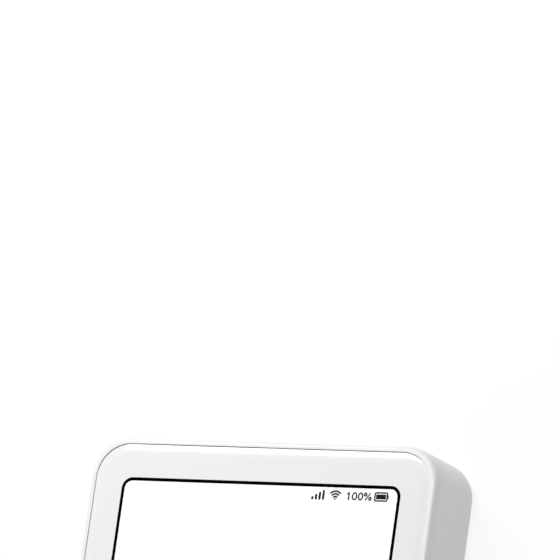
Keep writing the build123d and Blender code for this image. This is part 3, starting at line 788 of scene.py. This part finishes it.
# ---------------------------------------------------------------- the terminal's sub-assemblies
@dataclass
class StatusSigns:
    """The small signs in the display's top right corner, placed from its right edge."""

    lens_step: float = 0.36 * MM
    top_margin: float = 0.74 * MM
    stroke: float = 0.34 * MM
    sign_height: float = 1.80 * MM
    thickness: float = 0.02 * MM
    above_picture: float = 0.03 * MM

    bars_left: float = 20.55 * MM
    bars_drop: float = 0.12 * MM
    bar_pitch: float = 0.86 * MM
    bar_width: float = 0.52 * MM
    bar_heights: tuple[float, ...] = (0.76 * MM, 1.28 * MM, 1.72 * MM, 2.18 * MM)

    radio_from_edge: float = 15.11 * MM
    radio_rise: float = 0.16 * MM
    radio_dot: float = 0.20 * MM
    radio_radii: tuple[float, ...] = (0.54 * MM, 1.11 * MM, 1.70 * MM)
    radio_stroke: float = 0.38 * MM
    radio_angles: Point = (47.0, 133.0)

    digits_left: float = 12.36 * MM
    one_stem: float = 0.50 * MM
    one_flag_drop: float = 0.42 * MM
    zeros: tuple[float, ...] = (1.85 * MM, 3.29 * MM)
    zero_half_width: float = 0.66 * MM
    percent_ring: Point = (0.42 * MM, 0.47 * MM)
    percent_first: Point = (4.44 * MM, 0.45 * MM)
    percent_second: Point = (5.60 * MM, -0.45 * MM)
    slash: Point = (4.55 * MM, 5.52 * MM)
    slash_thinness: float = 0.85

    battery_left: float = 5.80 * MM
    battery_rise: float = 0.04 * MM
    battery_size: Point = (3.25 * MM, 2.08 * MM)
    battery_corner: float = 0.42 * MM
    charge_margins: Point = (0.884 * MM, 1.02 * MM)
    nub_size: Point = (0.18 * MM, 0.9 * MM)
    nub_gap: float = 0.10 * MM
    small_corner: float = 0.08 * MM

    ink: list[tuple[Outline, Outline | None]] = field(default_factory=list)
    grey: list[tuple[Outline, Outline | None]] = field(default_factory=list)

    def draw_bars(self, right: float, middle: float) -> None:
        """Draws the rising signal bars.

        Args:
            right: X of the display's right edge.
            middle: Y of the signs' middle line.
        """
        foot = middle - self.sign_height / 2 - self.bars_drop
        half = self.bar_width / 2
        for i, height in enumerate(self.bar_heights):
            x = right - self.bars_left + i * self.bar_pitch
            ends = (x, foot + half), (x, foot + height - half)
            self.ink.append((round_bar(*ends, self.bar_width), None))

    def draw_radio(self, right: float, middle: float) -> None:
        """Draws the radio sign: a dot under three arcs.

        Args:
            right: X of the display's right edge.
            middle: Y of the signs' middle line.
        """
        low = middle - self.sign_height / 2
        dot = (right - self.radio_from_edge, low + self.radio_rise)
        for radius in self.radio_radii:
            self.ink.append((arc_band(dot, radius, self.radio_stroke, *self.radio_angles), None))
        self.ink.append((arc_points(dot, (self.radio_dot, self.radio_dot), 0, 345, 23), None))

    def draw_ring(self, centre: Point, radius: Point) -> None:
        """Draws an upright ring with the digits' stroke.

        Args:
            centre: Middle of the ring.
            radius: Half width and half height over the stroke.
        """
        inner = (radius[0] - self.stroke, radius[1] - self.stroke)
        ring, hole = (arc_points(centre, size, 0, 350, 35) for size in (radius, inner))
        self.grey.append((ring, hole))

    def draw_hundred(self, right: float, middle: float) -> None:
        """Draws the figure of a full charge, 100%.

        Args:
            right: X of the display's right edge.
            middle: Y of the signs' middle line.
        """
        left = right - self.digits_left
        half = self.sign_height / 2
        inset = self.stroke / 2
        low, high = middle - half + inset, middle + half - inset
        stem = left + self.one_stem
        self.grey.append((round_bar((stem, low), (stem, high), self.stroke), None))
        flag = (left + inset, middle + half - self.one_flag_drop)
        self.grey.append((round_bar(flag, (stem, high), self.stroke), None))
        for x in self.zeros:
            self.draw_ring((left + x, middle), (self.zero_half_width, half))
        for x, rise in (self.percent_first, self.percent_second):
            self.draw_ring((left + x, middle + rise), self.percent_ring)
        slash = (left + self.slash[0], low), (left + self.slash[1], high)
        self.grey.append((round_bar(*slash, self.stroke * self.slash_thinness), None))

    def draw_battery(self, right: float, middle: float) -> None:
        """Draws the battery sign: a framed charge with a nub.

        Args:
            right: X of the display's right edge.
            middle: Y of the signs' middle line.
        """
        width, height = self.battery_size
        centre = (right - self.battery_left + width / 2, middle + self.battery_rise)
        inside = (width - 2 * self.stroke, height - 2 * self.stroke)
        rim = rounded_rectangle(self.battery_size, self.battery_corner, centre)
        hole = rounded_rectangle(inside, self.battery_corner - self.stroke, centre)
        self.grey.append((rim, hole))
        charge = (width - self.charge_margins[0], height - self.charge_margins[1])
        self.ink.append((rounded_rectangle(charge, self.small_corner, centre), None))
        nub = (centre[0] + width / 2 + self.nub_gap, centre[1])
        self.grey.append((rounded_rectangle(self.nub_size, self.small_corner, nub), None))

    def build(self, picture_top: float, materials: Materials) -> None:
        """Makes the signs as two thin printed pieces.

        Args:
            picture_top: Height of the lit picture's upper face.
            materials: The finished materials.
        """
        _, lens_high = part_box("cover_lens")
        right = lens_high.x - self.lens_step
        middle = lens_high.y - self.lens_step - self.top_margin - self.sign_height / 2
        for draw in (self.draw_bars, self.draw_radio, self.draw_hundred, self.draw_battery):
            draw(right, middle)
        low = picture_top + self.above_picture
        rows = (("signs_ink", self.ink, SIGN_INK), ("signs_grey", self.grey, SIGN_GREY))
        for name, shapes, finish in rows:
            maker = MeshMaker(name)
            for outline, hole in shapes:
                maker.prism(outline, low, low + self.thickness, hole)
            settle(maker.piece(), "terminal", materials[finish])


@dataclass
class Display:
    """The lit picture behind the cover glass."""

    inset: float = 0.02 * MM
    corner: float = 2.0 * MM
    thickness: float = 0.02 * MM
    above_sensor: float = 0.04 * MM
    signs: StatusSigns = field(default_factory=StatusSigns)

    def build(self, materials: Materials) -> None:
        """Makes the picture and its signs.

        Args:
            materials: The finished materials.
        """
        low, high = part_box("touch_sensor")
        size = (high.x - low.x - 2 * self.inset, high.y - low.y - 2 * self.inset)
        centre = ((low.x + high.x) / 2, (low.y + high.y) / 2)
        bottom = high.z + self.above_sensor
        maker = MeshMaker("display_picture")
        maker.prism(rounded_rectangle(size, self.corner, centre), bottom, bottom + self.thickness)
        settle(maker.piece(), "terminal", materials[PICTURE])
        self.signs.build(bottom + self.thickness, materials)


@dataclass
class PowerKey:
    """The printed sign on the power button."""

    radius: float = 0.85 * MM
    stroke: float = 0.22 * MM
    thickness: float = 0.02 * MM
    ring_angles: Point = (120.0, 420.0)
    bar_foot: float = 0.15 * MM
    bar_reach: float = 1.15

    def build(self, materials: Materials) -> None:
        """Prints a broken ring and a bar on the button's cap.

        Args:
            materials: The finished materials.
        """
        low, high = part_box("power_button")
        maker = MeshMaker("power_sign")
        ring = arc_band((0, 0), self.radius, self.stroke, *self.ring_angles)
        bar = round_bar((0, self.bar_foot), (0, self.radius * self.bar_reach), self.stroke)
        for outline in (ring, bar):
            maker.prism(outline, 0, self.thickness)
        middle = Vector((high.x, (low.y + high.y) / 2, (low.z + high.z) / 2))
        turn = Matrix(((0, 0, 1), (1, 0, 0), (0, 1, 0))).to_4x4()
        sign = maker.piece(Matrix.Translation(middle) @ turn)
        settle(sign, "power_button", materials[PRINT_GREY])


@dataclass
class ChargingSocket:
    """The gold contacts on the tongue of the charging socket."""

    count: int = 12
    pitch: float = 0.5 * MM
    pad: Point = (3.6 * MM, 0.26 * MM)
    pad_corner: float = 0.05 * MM
    from_tip: float = 0.35 * MM
    thickness: float = 0.02 * MM

    def build(self, materials: Materials) -> None:
        """Lays a row of contacts on both faces of the tongue.

        Args:
            materials: The finished materials.
        """
        low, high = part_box("usb_tongue")
        middle = (low.y + high.y) / 2
        maker = MeshMaker("socket_contacts")
        x = low.x + self.from_tip + self.pad[0] / 2
        for i in range(self.count):
            y = middle + (i - (self.count - 1) / 2) * self.pitch
            outline = rounded_rectangle(self.pad, self.pad_corner, (x, y), 3)
            maker.prism(outline, high.z, high.z + self.thickness)
            maker.prism(outline, low.z - self.thickness, low.z)
        settle(maker.piece(), "terminal", materials[GOLD_CONTACT])


@dataclass
class RubberFeet:
    """Four round feet, each with a ring groove underneath and a round lip."""

    radius: float = 4.6 * MM
    lip: float = 0.3 * MM
    groove: Point = (3.24 * MM, 3.6 * MM)
    groove_depth: float = 0.25 * MM
    groove_slant: float = 0.03 * MM
    groove_edge: Point = (0.1 * MM, 0.05 * MM)
    top_edge: float = 0.02 * MM

    def profile(self, height: float) -> Outline:
        """Draws half of a foot's section, from its axis at the table to its axis at the top.

        Args:
            height: Height of the foot.

        Returns:
            Radius and height of each point.
        """
        inner, outer = self.groove
        across, rise = self.groove_edge
        outline: Outline = [(0.0, 0.0), (inner - across, 0.0), (inner, rise)]
        outline += [(inner + self.groove_slant, self.groove_depth)]
        outline += [(outer - self.groove_slant, self.groove_depth)]
        outline += [(outer, rise), (outer + across, 0.0)]
        outline += arc_points((self.radius - self.lip, self.lip), (self.lip, self.lip), -90, 0, 6)
        outline += [(self.radius, height - self.top_edge), (self.radius - self.top_edge, height)]
        return outline + [(0.0, height)]

    def build(self, materials: Materials) -> None:
        """Turns the four feet, which take the place of the plain ones.

        Args:
            materials: The finished materials.
        """
        _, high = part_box("rubber_feet")
        across, deep = high.x - self.radius, high.y - self.radius
        outline = self.profile(high.z)
        maker = MeshMaker("turned_feet")
        for x in (-across, across):
            for y in (-deep, deep):
                maker.turned(outline, (x, y))
        feet = settle(maker.piece(), "terminal", materials[FOOT_RUBBER])
        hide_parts("rubber_feet")


@dataclass
class RatingLabel:
    """The frame and the empty ruled fields printed on the label underneath."""

    margin: float = 1.5 * MM
    corner: float = 1.0 * MM
    rule: float = 0.12 * MM
    rule_inset: float = 2.0 * MM
    rows: int = 4
    thickness: float = 0.008 * MM

    def build(self, materials: Materials) -> None:
        """Prints the frame and the rules.

        Args:
            materials: The finished materials.
        """
        low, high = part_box("rating_label")
        centre = ((low.x + high.x) / 2, (low.y + high.y) / 2)
        outer = (high.x - low.x - 2 * self.margin, high.y - low.y - 2 * self.margin)
        inner = (outer[0] - 2 * self.rule, outer[1] - 2 * self.rule)
        edge = rounded_rectangle(outer, self.corner, centre)
        hole = rounded_rectangle(inner, self.corner - self.rule, centre)
        under = low.z - self.thickness
        maker = MeshMaker("label_rules")
        maker.prism(edge, under, low.z, hole)
        half = outer[0] / 2 - self.rule_inset
        for row in range(1, self.rows):
            y = centre[1] - outer[1] / 2 + row * outer[1] / self.rows
            ends = (centre[0] - half, y), (centre[0] + half, y)
            maker.prism(round_bar(*ends, self.rule), under, low.z)
        settle(maker.piece(), "terminal", materials[PRINT_GREY])


# ---------------------------------------------------------------- studio and camera
@dataclass(frozen=True)
class Softbox:
    """A soft rectangular lamp."""

    name: str
    place: Place
    size: Point
    power: float
    aim: Place = (0.0, 0.0, 0.01)

    def build(self) -> None:
        """Hangs the lamp and turns it to its aim."""
        light = bpy.data.lights.new(self.name, "AREA")
        light.shape = "RECTANGLE"
        light.size, light.size_y = self.size
        light.energy = self.power
        lamp = bpy.data.objects.new(self.name, light)
        lamp.location = self.place
        lamp.rotation_mode = "QUATERNION"
        lamp.rotation_quaternion = (Vector(self.aim) - Vector(self.place)).to_track_quat("-Z", "Y")
        lamp.visible_camera = False
        bpy.context.scene.collection.objects.link(lamp)
        LOG.info("lamp %s", self.name)


@dataclass
class Studio:
    """A pale lit table in a white room, with softboxes."""

    floor_half: float = 6.0
    floor_drop: float = 0.02 * MM
    floor_colour: Colour = (0.15, 0.15, 0.15)
    floor_shade: float = 0.995
    floor_roughness: float = 0.9
    floor_glow: float = 0.84
    room_light: float = 0.18
    lamps: tuple[Softbox, ...] = (
        Softbox("top_softbox", (-0.17, 0.325, 0.341), (0.28, 0.272), 1.40, (-0.17, 0.02, 0.02)),
        Softbox("overhead_softbox", (0.075, 0.105, 0.52), (0.20, 0.16), 1.12, (0.04, 0.03, 0.02)),
        Softbox("left_softbox", (-1.1, -0.72, 0.88), (1.0, 1.0), 7.0),
    )

    def build_floor(self) -> None:
        """Lays the pale table top."""
        draw = MaterialDrawing("pale_table")
        noise = draw.node("ShaderNodeTexNoise")
        draw.link(draw.place, noise.inputs["Vector"])
        noise.inputs["Scale"].default_value = 3.0
        darker = tuple(c * self.floor_shade for c in self.floor_colour)
        tone = draw.mix(noise.outputs["Fac"], self.floor_colour, darker)
        draw.link(tone, draw.shader.inputs["Base Color"])
        draw.plain(emission_color=(1.0, 1.0, 1.0), emission_strength=self.floor_glow,
                   roughness=self.floor_roughness, specular_ior_level=0.0)
        half = self.floor_half
        mesh = bpy.data.meshes.new("table_top")
        corners = [(-half, -half, 0.0), (half, -half, 0.0), (half, half, 0.0), (-half, half, 0.0)]
        mesh.from_pydata(corners, [], [(0, 1, 2, 3)])
        mesh.materials.append(draw.material)
        floor = bpy.data.objects.new("table_top", mesh)
        floor.location.z = -self.floor_drop
        bpy.context.scene.collection.objects.link(floor)

    def build_room(self) -> None:
        """Fills the room with even light, and shows it white behind the table."""
        world = bpy.data.worlds.new("white_room")
        world.use_nodes = True
        draw = NodeDrawing(world.node_tree)
        draw.tree.nodes.clear()
        output = draw.node("ShaderNodeOutputWorld")
        background = draw.node("ShaderNodeBackground")
        background.inputs["Color"].default_value = (1.0, 1.0, 1.0, 1.0)
        seen = draw.node("ShaderNodeLightPath").outputs["Is Camera Ray"]
        strength = draw.node("ShaderNodeMapRange")
        strength.inputs["To Min"].default_value = self.room_light
        strength.inputs["To Max"].default_value = 1.0
        draw.link(seen, strength.inputs["Value"])
        draw.link(strength.outputs["Result"], background.inputs["Strength"])
        draw.link(background.outputs[0], output.inputs["Surface"])
        bpy.context.scene.world = world

    def build(self) -> None:
        """Sets the table, the room and the lamps."""
        self.build_floor()
        self.build_room()
        for lamp in self.lamps:
            lamp.build()
        bpy.context.scene.view_settings.view_transform = "Standard"


@dataclass
class Viewpoint:
    """A long lens above the terminal's near right corner, aimed just past its top edge."""

    place: Place = (0.8168, -0.2903, 1.4753)
    aim: Place = (-0.0022, 0.0772, 0.0196)
    roll: float = -8.07
    lens: float = 514.3
    sensor: float = 36.0
    clip: Point = (0.05, 50.0)

    def build(self) -> None:
        """Makes the camera, with the terminal's top edge upright but for the roll."""
        camera = bpy.data.cameras.new("studio_camera")
        camera.lens, camera.sensor_width = self.lens, self.sensor
        camera.clip_start, camera.clip_end = self.clip
        look = (Vector(self.aim) - Vector(self.place)).normalized()
        right = look.cross(Vector((0, 1, 0))).normalized()
        upright = Matrix((right, right.cross(look), -look)).transposed()
        turned = Matrix.Rotation(math.radians(self.roll), 3, look) @ upright
        holder = bpy.data.objects.new("studio_camera", camera)
        holder.matrix_world = Matrix.Translation(self.place) @ turned.to_4x4()
        bpy.context.scene.collection.objects.link(holder)
        bpy.context.scene.camera = holder
        LOG.info("camera at %s", self.place)


def main() -> None:
    """Builds the studio, dresses the frame and adds each sub-assembly's own pieces."""
    logging.basicConfig(level=logging.INFO, format="%(message)s")
    Viewpoint().build()
    Studio().build()
    groups = ShaderGroups()
    extra: tuple[Finish, ...] = (SIGN_INK, SIGN_GREY, PRINT_GREY, PICTURE)
    materials = {finish: finish.build(groups) for finish in (*FINISHES, *extra)}
    for finish, nodes in FINISHES.items():
        dress(materials[finish], *nodes)
    for assembly in (Display(), PowerKey(), ChargingSocket(), RubberFeet(), RatingLabel()):
        assembly.build(materials)


if __name__ == "__main__":
    main()
